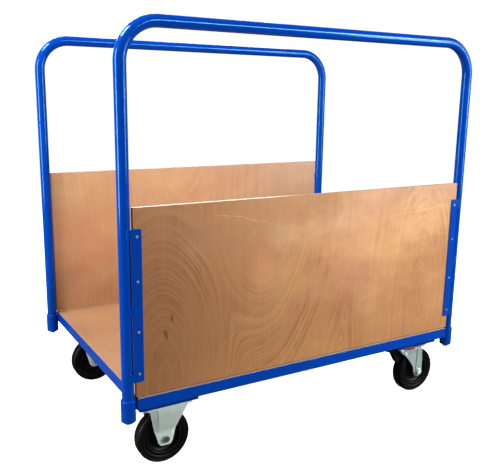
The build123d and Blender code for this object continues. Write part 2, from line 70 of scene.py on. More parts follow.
# ============================================================ shader helpers
class Graph:
    """A node tree with short calls. Sockets go in and out."""

    def __init__(self, name):
        self.mat = bpy.data.materials.new(name)
        self.mat.use_nodes = True
        self.t = self.mat.node_tree
        self.t.nodes.clear()
        self.out = self.t.nodes.new("ShaderNodeOutputMaterial")
        tc = self.t.nodes.new("ShaderNodeTexCoord")
        self.obj = tc.outputs["Object"]
        self.nrm = tc.outputs["Normal"]
        s = self.new("ShaderNodeSeparateXYZ")
        self.link(self.obj, s.inputs[0])
        self.x, self.y, self.z = s.outputs

    def new(self, kind):
        return self.t.nodes.new(kind)

    def link(self, a, b):
        self.t.links.new(a, b)

    def put(self, sock, v):
        if isinstance(v, bpy.types.NodeSocket):
            self.link(v, sock)
        else:
            sock.default_value = v

    def m(self, op, a, b=0.0, c=0.0, clamp=False):
        n = self.new("ShaderNodeMath")
        n.operation = op
        n.use_clamp = clamp
        for i, v in enumerate((a, b, c)):
            self.put(n.inputs[i], v)
        return n.outputs[0]

    def add(self, a, b): return self.m("ADD", a, b)
    def sub(self, a, b): return self.m("SUBTRACT", a, b)
    def mul(self, a, b): return self.m("MULTIPLY", a, b)

    def vec(self, x, y, z):
        n = self.new("ShaderNodeCombineXYZ")
        for i, v in enumerate((x, y, z)):
            self.put(n.inputs[i], v)
        return n.outputs[0]

    def noise(self, vec, scale, detail=3.0, rough=0.55, dist=0.0, dims="3D"):
        n = self.new("ShaderNodeTexNoise")
        n.noise_dimensions = dims
        self.put(n.inputs["Vector"], vec)
        n.inputs["Scale"].default_value = scale
        n.inputs["Detail"].default_value = detail
        n.inputs["Roughness"].default_value = rough
        n.inputs["Distortion"].default_value = dist
        return n.outputs["Fac"]

    def voronoi(self, vec, scale, feature="F1", out="Distance", rand=1.0):
        n = self.new("ShaderNodeTexVoronoi")
        n.feature = feature
        self.put(n.inputs["Vector"], vec)
        n.inputs["Scale"].default_value = scale
        n.inputs["Randomness"].default_value = rand
        return n.outputs[out]

    def ramp(self, fac, stops, interp="LINEAR"):
        n = self.new("ShaderNodeValToRGB")
        n.color_ramp.interpolation = interp
        el = n.color_ramp.elements
        while len(el) < len(stops):
            el.new(0.5)
        for e, (p, c) in zip(el, stops):
            e.position = p
            e.color = (*c, 1.0) if len(c) == 3 else c
        self.link(fac, n.inputs[0])
        return n.outputs[0]

    def span(self, v, a, b, lo=0.0, hi=1.0, smooth=True):
        n = self.new("ShaderNodeMapRange")
        n.interpolation_type = "SMOOTHSTEP" if smooth else "LINEAR"
        self.put(n.inputs["Value"], v)
        for k, x in (("From Min", a), ("From Max", b), ("To Min", lo), ("To Max", hi)):
            n.inputs[k].default_value = x
        return n.outputs[0]

    def mix(self, fac, a, b, blend="MIX"):
        n = self.new("ShaderNodeMix")
        n.data_type = "RGBA"
        n.blend_type = blend
        self.put(n.inputs[0], fac)
        for i, v in ((6, a), (7, b)):
            if not isinstance(v, bpy.types.NodeSocket):
                v = (*v, 1.0) if len(v) == 3 else v
            self.put(n.inputs[i], v)
        return n.outputs[2]

    def mixf(self, fac, a, b):
        n = self.new("ShaderNodeMix")
        n.data_type = "FLOAT"
        self.put(n.inputs[0], fac)
        self.put(n.inputs[2], a)
        self.put(n.inputs[3], b)
        return n.outputs[0]

    def bump(self, height, strength, distance, normal=None):
        n = self.new("ShaderNodeBump")
        n.inputs["Strength"].default_value = strength
        n.inputs["Distance"].default_value = distance
        self.link(height, n.inputs["Height"])
        if normal is not None:
            self.link(normal, n.inputs["Normal"])
        return n.outputs[0]

    def soften(self, radius):
        """Normals rounded over sharp edges."""
        n = self.new("ShaderNodeBevel")
        n.samples = 4
        n.inputs["Radius"].default_value = radius
        return n.outputs[0]

    def bsdf(self, **kw):
        n = self.new("ShaderNodeBsdfPrincipled")
        for k, v in kw.items():
            sock = n.inputs[k.replace("_", " ")]
            if isinstance(v, tuple) and len(v) == 3 and sock.type == "RGBA":
                v = (*v, 1.0)
            self.put(sock, v)
        self.link(n.outputs[0], self.out.inputs[0])
        return n


def lin(r, g, b):
    """sRGB 0-255 to linear."""
    return tuple((c / 255 / 12.92) if c / 255 <= 0.04045 else ((c / 255 + 0.055) / 1.055) ** 2.4 for c in (r, g, b))


# ================================================================= materials
def blue_paint():
    """Gloss powder coat, with the coat's slight orange peel and a few dull handled patches."""
    g = Graph("blue_powder_coat")
    cloud = g.noise(g.obj, 3.0, 3.0)
    fleck = g.noise(g.obj, 900.0, 1.0)
    col = g.mix(g.span(cloud, 0.3, 0.7), (0.0, 0.045, 0.37), (0.0, 0.052, 0.41))
    col = g.mix(g.mul(g.span(fleck, 0.60, 0.78), 0.12), col, (0.001, 0.060, 0.55))
    dust = g.mul(g.span(g.noise(g.obj, 14.0, 6.0, 0.65), 0.58, 0.80), 0.02)
    col = g.mix(dust, col, (0.25, 0.34, 0.50))
    rough = g.add(g.span(g.noise(g.obj, 24.0, 4.0), 0.3, 0.75, 0.10, 0.16), g.mul(dust, 1.5))
    peel = g.add(g.noise(g.obj, 420.0, 2.0, 0.5), g.mul(g.noise(g.obj, 90.0, 2.0, 0.5), 1.6))
    n = g.bump(peel, 0.09, 0.00030, g.soften(0.0006))
    g.bsdf(Base_Color=col, Roughness=rough, IOR=1.5, Specular_IOR_Level=0.50, Normal=n,
           Specular_Tint=(0.26, 0.78, 1.0))
    return g.mat


def metal(name, base, dark, metallic, r0, r1, spangle, brush, streak_axis=None):
    g = Graph(name)
    sp = g.voronoi(g.obj, spangle, "F1", "Color")
    s = g.new("ShaderNodeSeparateColor")
    g.link(sp, s.inputs[0])
    tone = g.add(g.mul(s.outputs[0], 0.35), g.mul(g.noise(g.obj, 38.0, 5.0, 0.6), 0.65))
    col = g.mix(g.span(tone, 0.2, 0.75), dark, base)
    film = g.noise(g.obj, 17.0, 3.0)
    col = g.mix(g.mul(g.span(film, 0.5, 0.75), 0.30), col, tuple(c * f for c, f in zip(base, (0.84, 1.0, 1.04))))
    fine = g.noise(g.vec(g.mul(g.x, brush[0]), g.mul(g.y, brush[1]), g.mul(g.z, brush[2])), 1.0, 3.0)
    rough = g.add(g.span(fine, 0.25, 0.75, r0, r1), g.mul(g.sub(s.outputs[1], 0.5), 0.06))
    pit = g.voronoi(g.obj, 620.0)
    h = g.add(g.mul(fine, 0.5), g.mul(pit, 0.5))
    n = g.bump(h, 0.10, 0.0002, g.soften(0.0005))
    g.bsdf(Base_Color=col, Metallic=metallic, Roughness=rough, Normal=n)
    return g.mat


def rubber():
    g = Graph("tyre_rubber")
    cloud = g.noise(g.obj, 30.0, 4.0)
    scuff = g.noise(g.obj, 160.0, 5.0, 0.7)
    col = g.mix(g.span(cloud, 0.3, 0.75), (0.0020, 0.0022, 0.0021), (0.0042, 0.0048, 0.0046))
    col = g.mix(g.mul(g.span(scuff, 0.55, 0.8), 0.35), col, (0.014, 0.017, 0.017))
    rough = g.span(scuff, 0.3, 0.8, 0.34, 0.60)
    grain = g.add(g.noise(g.obj, 1400.0, 2.0), g.mul(scuff, 1.2))
    n = g.bump(grain, 0.20, 0.00025, g.soften(0.0004))
    g.bsdf(Base_Color=col, Roughness=rough, Specular_IOR_Level=0.17, Normal=n)
    return g.mat


def plastic(name, a, b, r0, r1, grain=900.0, spec=0.5):
    g = Graph(name)
    cloud = g.noise(g.obj, 26.0, 4.0)
    col = g.mix(g.span(cloud, 0.3, 0.75), a, b)
    scuff = g.noise(g.obj, 210.0, 5.0, 0.7)
    col = g.mix(g.mul(g.span(scuff, 0.6, 0.82), 0.3), col, tuple(min(1.0, c * 2.2 + 0.004) for c in b))
    rough = g.span(scuff, 0.3, 0.75, r0, r1)
    n = g.bump(g.noise(g.obj, grain, 2.0), 0.12, 0.0002, g.soften(0.0004))
    g.bsdf(Base_Color=col, Roughness=rough, Specular_IOR_Level=spec, Normal=n)
    return g.mat


def segment(g, u, v, a, b, width):
    """1 on a thin line from a to b in the plane of sockets u and v, 0 off it."""
    dx, dy = b[0] - a[0], b[1] - a[1]
    ln = math.hypot(dx, dy)
    dx, dy = dx / ln, dy / ln
    pu, pv = g.sub(u, a[0]), g.sub(v, a[1])
    along = g.add(g.mul(pu, dx), g.mul(pv, dy))
    across = g.m("ABSOLUTE", g.sub(g.mul(pu, dy), g.mul(pv, dx)))
    on = g.span(across, 0.0, width, 1.0, 0.0)
    ends = g.mul(g.span(along, 0.0, 0.02), g.span(along, ln - 0.03, ln, 1.0, 0.0))
    return g.mul(on, ends)


def plywood(name, base, late, early, u, v, w, eyes, ply_axis, ply_lo, thick, knots=(), scratches=(), red=None,
            warp=1.0, rough=(0.34, 0.5), coat=0.6, ring=88.0, contrast=1.0, painted_light_patches=(), seed=0.0):
    """Rotary-cut veneer. u runs across the grain, v along it and w through the board.
    eyes are (u, v, stretch, lift) centres that the growth lines close round."""
    g = Graph(name)
    ax = {"x": g.x, "y": g.y, "z": g.z}
    U, V, W = ax[u], ax[v], ax[w]
    U0, V0 = U, V
    # slow drift of the grain, stronger across than along
    drift = g.noise(g.vec(g.mul(U, 2.3), g.mul(V, 1.1), seed), 1.0, 2.0)
    drift2 = g.noise(g.vec(g.mul(U, 9.0), g.mul(V, 2.4), seed + 4.0), 1.0, 3.0)
    U = g.add(U, g.add(g.mul(g.sub(drift, 0.5), 0.16 * warp), g.mul(g.sub(drift2, 0.5), 0.026 * warp)))
    V = g.add(V, g.mul(g.sub(g.noise(g.vec(g.mul(U0, 3.0), g.mul(V0, 3.0), seed + 9.0), 1.0, 2.0), 0.5), 0.10 * warp))
    field = None
    for (cu, cv, st, lift) in eyes:
        du = g.sub(U, cu)
        dv = g.mul(g.sub(V, cv), st)
        r = g.add(g.m("SQRT", g.add(g.add(g.mul(du, du), g.mul(dv, dv)), 0.0002)), lift)
        field = r if field is None else g.m("SMOOTH_MIN", field, r, 0.10)
    # growth lines, uneven in spacing and strength
    jit = g.noise(g.vec(g.mul(field, 26.0), 0.0, seed), 1.0, 2.0)
    ph = g.add(g.mul(field, ring), g.mul(jit, 7.0))
    saw = g.m("FRACT", ph)
    line = g.mul(g.span(saw, 0.0, 0.72), g.span(saw, 0.80, 1.0, 1.0, 0.0))
    amp = g.span(g.noise(g.vec(g.mul(U0, 6.0), g.mul(V0, 3.0), seed + 2.0), 1.0, 3.0), 0.30, 0.70, 0.15, 1.0)
    wide = g.m("FRACT", g.add(g.mul(field, ring * 0.37), g.mul(jit, 2.0)))
    wide = g.mul(g.span(wide, 0.0, 0.7), g.span(wide, 0.75, 1.0, 1.0, 0.0))
    # fibres and pores along the grain
    fib = g.noise(g.vec(g.mul(U0, 620.0), g.mul(V0, 9.0), seed), 1.0, 4.0, 0.6)
    streak = g.noise(g.vec(g.mul(U, 70.0), g.mul(V, 2.2), seed + 6.0), 1.0, 4.0, 0.6)
    pore = g.span(g.noise(g.vec(g.mul(U0, 900.0), g.mul(V0, 46.0), seed + 3.0), 1.0, 2.0), 0.66, 0.76)
    mott = g.noise(g.vec(g.mul(U0, 5.0), g.mul(V0, 7.0), seed + 12.0), 1.0, 4.0, 0.6)
    curl = g.noise(g.vec(g.mul(U0, 9.0), g.mul(V0, 55.0), seed + 15.0), 1.0, 2.0)
    tone = g.add(g.mul(g.mul(line, amp), 0.22 * contrast), g.mul(g.mul(wide, amp), 0.06 * contrast))
    tone = g.add(tone, g.mul(g.sub(fib, 0.5), 0.34 * contrast))
    tone = g.add(tone, g.mul(g.sub(streak, 0.5), 0.26 * contrast))
    tone = g.add(tone, g.mul(g.sub(mott, 0.5), 0.80 * contrast))
    tone = g.add(tone, g.mul(g.sub(curl, 0.5), 0.10 * contrast))
    col = g.mix(g.span(tone, -0.28, 0.42), early, base)
    col = g.mix(g.span(tone, 0.16, 0.62), col, late)
    if red:
        warm = g.span(g.noise(g.vec(g.mul(U0, 3.0), g.mul(V0, 4.0), seed + 21.0), 1.0, 3.0), 0.48, 0.72)
        col = g.mix(g.mul(warm, 0.55), col, red, "MIX")
    # painted light and shade: each patch darkens or lightens the veneer colour where shade or sheen falls on the board
    for (tu, tv, ru, rv, ts, tc) in painted_light_patches:
        du = g.mul(g.sub(U, tu), 1.0 / ru)
        dv = g.mul(g.sub(V, tv), 1.0 / rv)
        td = g.m("SQRT", g.add(g.mul(du, du), g.mul(dv, dv)))
        td = g.add(td, g.mul(g.sub(mott, 0.5), 1.4))
        col = g.mix(g.mul(g.span(td, 0.1, 1.25, 1.0, 0.0), ts), col, tuple(c / b for c, b in zip(tc, base)), "MULTIPLY")
    col = g.mix(g.mul(pore, 0.35), col, tuple(c * 0.45 for c in late))
    for (ku, kv, kr, ks) in knots:
        du = g.mul(g.sub(g.add(U0, g.mul(g.sub(V0, kv), 0.25)), ku), 1.0)
        dv = g.mul(g.sub(V0, kv), 0.38)
        kd = g.m("SQRT", g.add(g.mul(du, du), g.mul(dv, dv)))
        kd = g.add(kd, g.mul(g.sub(streak, 0.5), kr * 0.8))
        col = g.mix(g.mul(g.span(kd, kr * 0.3, kr, 1.0, 0.0), ks), col, tuple(c * 0.30 for c in late))
    scr = None
    for (a, b, wd, st) in scratches:
        bow = g.add(V0, g.mul(g.sub(g.noise(g.vec(g.mul(U0, 16.0), g.mul(V0, 16.0), seed + 30.0), 1.0, 2.0), 0.5), 0.012))
        s = g.mul(segment(g, U0, bow, a, b, wd), st)
        s = g.mul(s, g.span(g.noise(g.vec(g.mul(U0, 130.0), g.mul(V0, 130.0), seed + 33.0), 1.0, 2.0), 0.38, 0.6, 0.25, 1.0))
        scr = s if scr is None else g.m("MAXIMUM", scr, s)
    haze = g.span(g.noise(g.vec(g.mul(U0, 20.0), g.mul(V0, 14.0), seed + 40.0), 1.0, 6.0, 0.7), 0.60, 0.80)
    col = g.mix(g.mul(haze, 0.14), col, (0.80, 0.66, 0.50))
    if scr is not None:
        col = g.mix(scr, col, (0.86, 0.72, 0.52))
    # edges of the board: glued veneers, alternately along and across
    sn = g.new("ShaderNodeSeparateXYZ")
    g.link(g.nrm, sn.inputs[0])
    face = g.span(g.m("ABSOLUTE", sn.outputs["XYZ".index(ply_axis.upper())]), 0.35, 0.55)
    P = g.mul(g.sub(ax[ply_axis], ply_lo), 1.0 / thick)
    P = g.add(P, g.mul(g.sub(g.noise(g.obj, 30.0, 2.0), 0.5), 0.012))
    layer = g.m("FRACT", g.mul(P, 4.5))
    band = g.mul(g.span(layer, 0.44, 0.50), g.span(layer, 0.94, 1.0, 1.0, 0.0))
    glue = g.add(g.span(g.m("ABSOLUTE", g.sub(layer, 0.5)), 0.0, 0.05, 1.0, 0.0), g.span(layer, 0.96, 1.0))
    eg = g.noise(g.vec(g.mul(g.x, 500.0), g.mul(g.y, 500.0), g.mul(g.z, 500.0)), 1.0, 3.0)
    ecol = g.mix(band, (0.60, 0.44, 0.27), (0.46, 0.29, 0.16))
    ecol = g.mix(g.mul(glue, 0.55), ecol, (0.20, 0.11, 0.055))
    ecol = g.mix(g.mul(g.span(eg, 0.5, 0.75), 0.45), ecol, (0.30, 0.18, 0.10))
    colour = g.mix(face, ecol, col)
    ro = g.span(g.add(g.mul(fib, 0.5), g.mul(mott, 0.5)), 0.35, 0.65, rough[0], rough[1])
    ro = g.mixf(face, 0.72, ro)
    ht = g.add(g.add(g.mul(fib, 0.6), g.mul(g.sub(1.0, pore), 0.6)), g.add(g.mul(line, 0.25), g.mul(streak, 0.6)))
    ht = g.mixf(face, g.add(g.mul(eg, 1.5), g.mul(g.sub(1.0, glue), 0.8)), ht)
    if scr is not None:
        ht = g.sub(ht, g.mul(scr, 0.8))
    n = g.bump(ht, 0.16, 0.00035)
    g.bsdf(Base_Color=colour, Roughness=ro, Specular_IOR_Level=0.42, Normal=n, Coat_Weight=coat, Coat_Roughness=0.22)
    return g.mat


FRONT_EYES = [(-0.500, 0.290, 0.42, 0.0), (-0.205, 0.840, 0.40, 0.02), (0.42, 0.40, 0.34, 0.07)]
# Painted light and shade on the front panel: darker lower left and lower middle, brighter upper right and small bright
# spots standing in for sheen.
FRONT_PAINTED_LIGHT = [(-0.58, 0.42, 0.40, 0.55, 0.90, (0.290, 0.108, 0.032)), (-0.05, 0.30, 0.42, 0.12, 0.34, (0.42, 0.165, 0.052)),
               (0.20, 0.610, 0.33, 0.21, 0.80, (0.66, 0.310, 0.112)), (-0.205, 0.555, 0.040, 0.080, 0.55, (0.62, 0.235, 0.095)),
               (-0.395, 0.640, 0.050, 0.060, 0.30, (0.60, 0.350, 0.180)), (-0.130, 0.655, 0.060, 0.060, 0.26, (0.64, 0.360, 0.180)),
               (0.06, 0.68, 0.12, 0.08, 0.26, (0.66, 0.350, 0.160))]
# Painted shade on the back panel: a darker right end and a darker patch low at the left.
BACK_PAINTED_SHADE = [(0.52, 0.60, 0.42, 0.60, 0.75, (0.345, 0.160, 0.066)), (-0.45, 0.35, 0.28, 0.30, 0.30, (0.50, 0.215, 0.090))]
BACK_EYES = [(-0.62, 0.20, 0.10, 0.05), (-0.05, 1.10, 0.30, 0.02), (0.50, 0.50, 0.30, 0.10)]
MATS = {
    "blue_paint": blue_paint(),
    # Painted light and shade: the first zinc has its colour raised to brighten the fixed castors, which sit in shade,
    # and the next is a darker copy of it for the swivel castors, which sit in the key light.
    "zinc_plate": metal("zinc_plate", (0.86, 0.98, 0.88), (0.74, 0.89, 0.80), 0.25, 0.36, 0.52, 90.0, (420, 420, 40)),
    "zinc_plate_painted_shade": metal("zinc_plate_painted_shade", (0.56, 0.68, 0.66), (0.44, 0.55, 0.54), 0.55, 0.36, 0.52, 90.0, (420, 420, 40)),
    # Painted shade: a darker zinc kept for the axle bolts and nuts of the fixed castors only.
    "screw_zinc": metal("screw_zinc", (0.20, 0.27, 0.27), (0.12, 0.17, 0.18), 0.80, 0.34, 0.48, 300.0, (900, 900, 900)),
    "panel_screw_zinc": metal("panel_screw_zinc", (0.34, 0.47, 0.46), (0.26, 0.36, 0.36), 0.70, 0.34, 0.48, 300.0, (900, 900, 900)),
    "bearing_steel": metal("bearing_steel", (0.62, 0.61, 0.58), (0.40, 0.39, 0.37), 1.0, 0.20, 0.34, 300.0, (900, 90, 900)),
    "tyre_rubber": rubber(),
    "wheel_plastic": plastic("wheel_plastic", (0.0018, 0.0018, 0.0018), (0.0035, 0.0036, 0.0038), 0.38, 0.55, 900.0, 0.22),
    "seal_plastic": plastic("seal_plastic", (0.42, 0.035, 0.022), (0.50, 0.055, 0.035), 0.34, 0.5),
    "brake_plastic": plastic("brake_plastic", (0.0015, 0.0015, 0.0015), (0.003, 0.003, 0.003), 0.42, 0.6, 900.0, 0.18),
}
PLY_FRONT = plywood(
    "panel_ply_front", (0.455, 0.190, 0.064), (0.30, 0.106, 0.028), (0.60, 0.310, 0.130), "x", "z", "y", FRONT_EYES,
    "y", -0.407, 0.012, knots=[(-0.468, 0.459, 0.0055, 0.62), (-0.486, 0.415, 0.0075, 0.66)],
    scratches=[((-0.345, 0.722), (-0.235, 0.712), 0.0011, 0.75), ((-0.262, 0.716), (-0.150, 0.682), 0.0011, 0.7),
               ((0.235, 0.668), (0.41, 0.681), 0.0010, 0.6), ((0.38, 0.676), (0.53, 0.694), 0.0010, 0.6),
               ((0.170, 0.405), (0.245, 0.450), 0.0012, 0.55), ((-0.33, 0.340), (-0.180, 0.462), 0.0010, 0.35),
               ((-0.21, 0.300), (-0.140, 0.296), 0.0010, 0.35)],
    red=(0.50, 0.22, 0.11), warp=0.6, ring=112.0, painted_light_patches=FRONT_PAINTED_LIGHT, seed=1.3)
PLY_BACK = plywood(
    "panel_ply_back", (0.55, 0.275, 0.120), (0.38, 0.160, 0.058), (0.68, 0.40, 0.21), "x", "z", "y", BACK_EYES,
    "y", 0.395, 0.012, red=(0.52, 0.20, 0.10), ring=80.0, contrast=0.9, painted_light_patches=BACK_PAINTED_SHADE, seed=7.7)
PLY_DECK = plywood(
    "deck_ply", (0.40, 0.200, 0.098), (0.30, 0.135, 0.058), (0.50, 0.28, 0.15), "y", "x", "z",
    [(-0.30, -1.1, 0.16, 0.0), (0.24, 0.9, 0.2, 0.05), (-0.05, 0.1, 0.3, 0.12)],
    "z", 0.2415, 0.012, red=(0.52, 0.24, 0.12), ring=70.0, contrast=1.0, seed=3.1)
NODE_MATS = {"panel_front": PLY_FRONT, "panel_back": PLY_BACK, "deck_board": PLY_DECK}
for name in NODES:
    # painted shade: the swivel castors take the darker zinc copy and the fixed castors' axle bolts and nuts a darker
    # steel
    if name.startswith(("swivel_fork", "swivel_plate")):
        NODE_MATS[name] = MATS["zinc_plate_painted_shade"]
    if name.startswith(("axle_bolts_fixed", "axle_nuts_fixed")):
        NODE_MATS[name] = MATS["screw_zinc"]
    if name.startswith("panel_screws"):
        NODE_MATS[name] = MATS["panel_screw_zinc"]
MATS["panel_ply"] = PLY_FRONT
MATS["deck_ply"] = PLY_DECK

HIDDEN = ("ball_ring", "bearing_", "axle_sleeve", "kingpin")
for name, o in NODES.items():
    o.data.materials.clear()
    o.data.materials.append(NODE_MATS.get(name, MATS[SLOTS[name]]))
    o.data.polygons.foreach_set("use_smooth", [True] * len(o.data.polygons))


def dress(o, width, angle=28.0, segments=2, dissolve=1.5):
    """Weld, merge flat facets, round the edges and even out the normals of a CAD node. Its own mesh stays as it is."""
    w = o.modifiers.new("weld", "WELD")
    w.merge_threshold = 1e-6
    d = o.modifiers.new("flat", "DECIMATE")
    d.decimate_type = "DISSOLVE"
    d.angle_limit = math.radians(dissolve)
    b = o.modifiers.new("round", "BEVEL")
    b.width = width
    b.segments = segments
    b.limit_method = "ANGLE"
    b.angle_limit = math.radians(angle)
    b.harden_normals = False
    b.miter_outer = "MITER_ARC"
    n = o.modifiers.new("normals", "WEIGHTED_NORMAL")
    n.keep_sharp = True
    n.weight = 60


for name, o in NODES.items():
    if name.startswith(HIDDEN):
        continue
    wd = 0.0005
    if name.startswith(("fixed_fork", "swivel_fork", "swivel_plate")):
        wd = 0.0007
    if name.startswith(("panel_screws", "deck_screws")):
        wd = 0.00015
    dress(o, wd)


# ================================================================ new pieces
def finish_mesh(name, verts, faces, slot, body, replaces=(), smooth=True, mat=None):
    me = bpy.data.meshes.new(name)
    me.from_pydata(verts, [], faces)
    me.validate()
    me.update()
    bm = bmesh.new()
    bm.from_mesh(me)
    bmesh.ops.remove_doubles(bm, verts=bm.verts, dist=1e-7)
    bmesh.ops.recalc_face_normals(bm, faces=bm.faces)
    bm.to_mesh(me)
    bm.free()
    me.polygons.foreach_set("use_smooth", [smooth] * len(me.polygons))
    o = bpy.data.objects.new(name, me)
    bpy.context.scene.collection.objects.link(o)
    o.data.materials.append(mat or MATS[slot])
    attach(o, body)
    if replaces:
        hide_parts(*replaces)
    return o


def sharpen(o, angle=35.0):
    """Mark edges sharper than angle, so that smooth shading breaks there."""
    me = o.data
    bm = bmesh.new()
    bm.from_mesh(me)
    lim = math.radians(angle)
    for e in bm.edges:
        e.smooth = not (len(e.link_faces) == 2 and e.calc_face_angle(0.0) > lim)
    bm.to_mesh(me)
    bm.free()


def tube(name, path, r, sides, slot, body, replaces=()):
    """Round tube swept along a list of points that lie in one XZ plane."""
    verts, faces = [], []
    k = len(path)
    for i, p in enumerate(path):
        a, b = path[max(0, i - 1)], path[min(k - 1, i + 1)]
        t = (b - a).normalized()
        side = Vector((0, 1, 0))
        up = side.cross(t).normalized()
        for j in range(sides):
            an = 2 * math.pi * j / sides
            verts.append(p + r * (math.cos(an) * side + math.sin(an) * up))
    for i in range(k - 1):
        for j in range(sides):
            a, b = i * sides + j, i * sides + (j + 1) % sides
            faces.append((a, b, b + sides, a + sides))
    faces.append(tuple(range(sides)))
    faces.append(tuple(range((k - 1) * sides, k * sides)))
    return finish_mesh(name, verts, faces, slot, body, replaces)


def lathe(name, profile, centre, axis, slot, body, replaces=(), seg=128, closed=True, angle=32.0, mat=None):
    """profile is (radius, offset) in mm, revolved about axis 'y' or 'z' through centre (metres)."""
    verts, faces = [], []
    n = len(profile)
    for j in range(seg):
        a = 2 * math.pi * j / seg
        c, s = math.cos(a), math.sin(a)
        for r, h in profile:
            if axis == "y":
                verts.append(Vector((c * r * mm, h * mm, s * r * mm)) + centre)
            else:
                verts.append(Vector((c * r * mm, s * r * mm, h * mm)) + centre)
    rng = range(n) if closed else range(n - 1)
    for j in range(seg):
        k = (j + 1) % seg
        for i in rng:
            i2 = (i + 1) % n
            faces.append((j * n + i, j * n + i2, k * n + i2, k * n + i))
    o = finish_mesh(name, verts, faces, slot, body, replaces, mat=mat)
    sharpen(o, angle)
    return o


# ---- hoops
HX, TR, TOPZ, BR = 0.590, 0.016, 1.210, 0.100
for name, y in (("front", -0.393), ("back", 0.393)):
    pts = [Vector((-HX, y, 0.1915)), Vector((-HX, y, 0.24)), Vector((-HX, y, 0.7))]
    for i in range(0, 41):
        a = math.pi / 2 * i / 40
        pts.append(Vector((-HX + BR - BR * math.cos(a), y, TOPZ - BR + BR * math.sin(a))))
    pts.append(Vector((0, y, TOPZ)))
    for i in range(0, 41):
        a = math.pi / 2 * (1 - i / 40)
        pts.append(Vector((HX - BR + BR * math.cos(a), y, TOPZ - BR + BR * math.sin(a))))
    pts += [Vector((HX, y, 0.7)), Vector((HX, y, 0.24)), Vector((HX, y, 0.1915))]
    tube("hoop_" + name + "_tube", pts, TR, 72, "blue_paint", BODY["hoop_" + name], ["hoop_" + name])

# ---- tyres and wheel centres
RW, HW = 80.0, 20.0
tyre = [(57.0, 14.5), (57.6, 16.6), (58.8, 17.9), (61.0, 18.8), (64.5, 19.3), (67.2, 19.5), (67.9, 19.2), (68.3, 18.55), (69.6, 18.55),
        (70.0, 19.2), (70.6, 19.75), (72.0, 19.95), (73.4, 19.8), (74.5, 19.2), (75.6, 18.3)]
for a in range(22, 91, 8):
    tyre.append((72.4 + 7.6 * math.sin(math.radians(a)), 9.6 + 8.6 * math.cos(math.radians(a))))
tyre += [(80.0, 7.0), (80.0, 3.0)]
tyre = [(min(r, 80.0), h) for r, h in tyre]
tyre_full = tyre + [(r, -h) for r, h in reversed(tyre)]
centre = [(11.0, 22.4), (11.6, 23.0), (15.8, 23.0), (16.9, 22.6), (17.4, 21.6), (18.0, 18.0), (19.0, 13.5), (20.5, 9.6), (23.0, 7.0),
          (27.0, 5.6), (37.0, 4.8), (41.5, 5.6), (44.6, 7.6), (46.6, 10.6), (47.6, 14.2), (48.3, 15.9), (49.6, 16.6), (53.0, 16.7),
          (55.4, 16.3), (56.6, 15.4), (57.0, 14.2)]
centre_full = centre + [(r, -h) for r, h in reversed(centre)]
for kind, wx in (("fixed", -0.465), ("swivel", 0.513)):
    for side, wy in (("front", -0.318), ("back", 0.318)):
        c = Vector((wx, wy, 0.080))
        tn, cn = f"tyre_{kind}_{side}", f"wheel_centre_{kind}_{side}"
        lathe(tn + "_moulded", tyre_full, c, "y", "tyre_rubber", BODY[tn], [tn], seg=160, angle=40)
        lathe(cn + "_moulded", centre_full, c, "y", "wheel_plastic", BODY[cn], [cn], seg=128, angle=40)

# ---- pressed steel forks of the fixed castors
def interp(table, z):
    for (z1, *a), (z0, *b) in zip(table[:-1], table[1:]):
        if z >= z0:
            f = (z - z0) / (z1 - z0)
            return [q + (p - q) * f for p, q in zip(a, b)]
    return list(table[-1][1:])


def soft_step(x, r):
    """x above 0, and 0 below, with the corner rounded over r."""
    if x <= -r:
        return 0.0
    if x >= r:
        return x
    return (x + r) ** 2 / (4 * r)


LEVELS = [(191.0, 60.0, 40.0, 63.0, 6.0), (172.0, 52.0, 34.0, 59.0, 6.0), (104.0, 31.5, 22.5, 30.0, 4.0),
          (92.0, 28.0, 20.5, 29.0, 2.5), (60.0, 19.0, 17.8, 29.0, 0.6)]


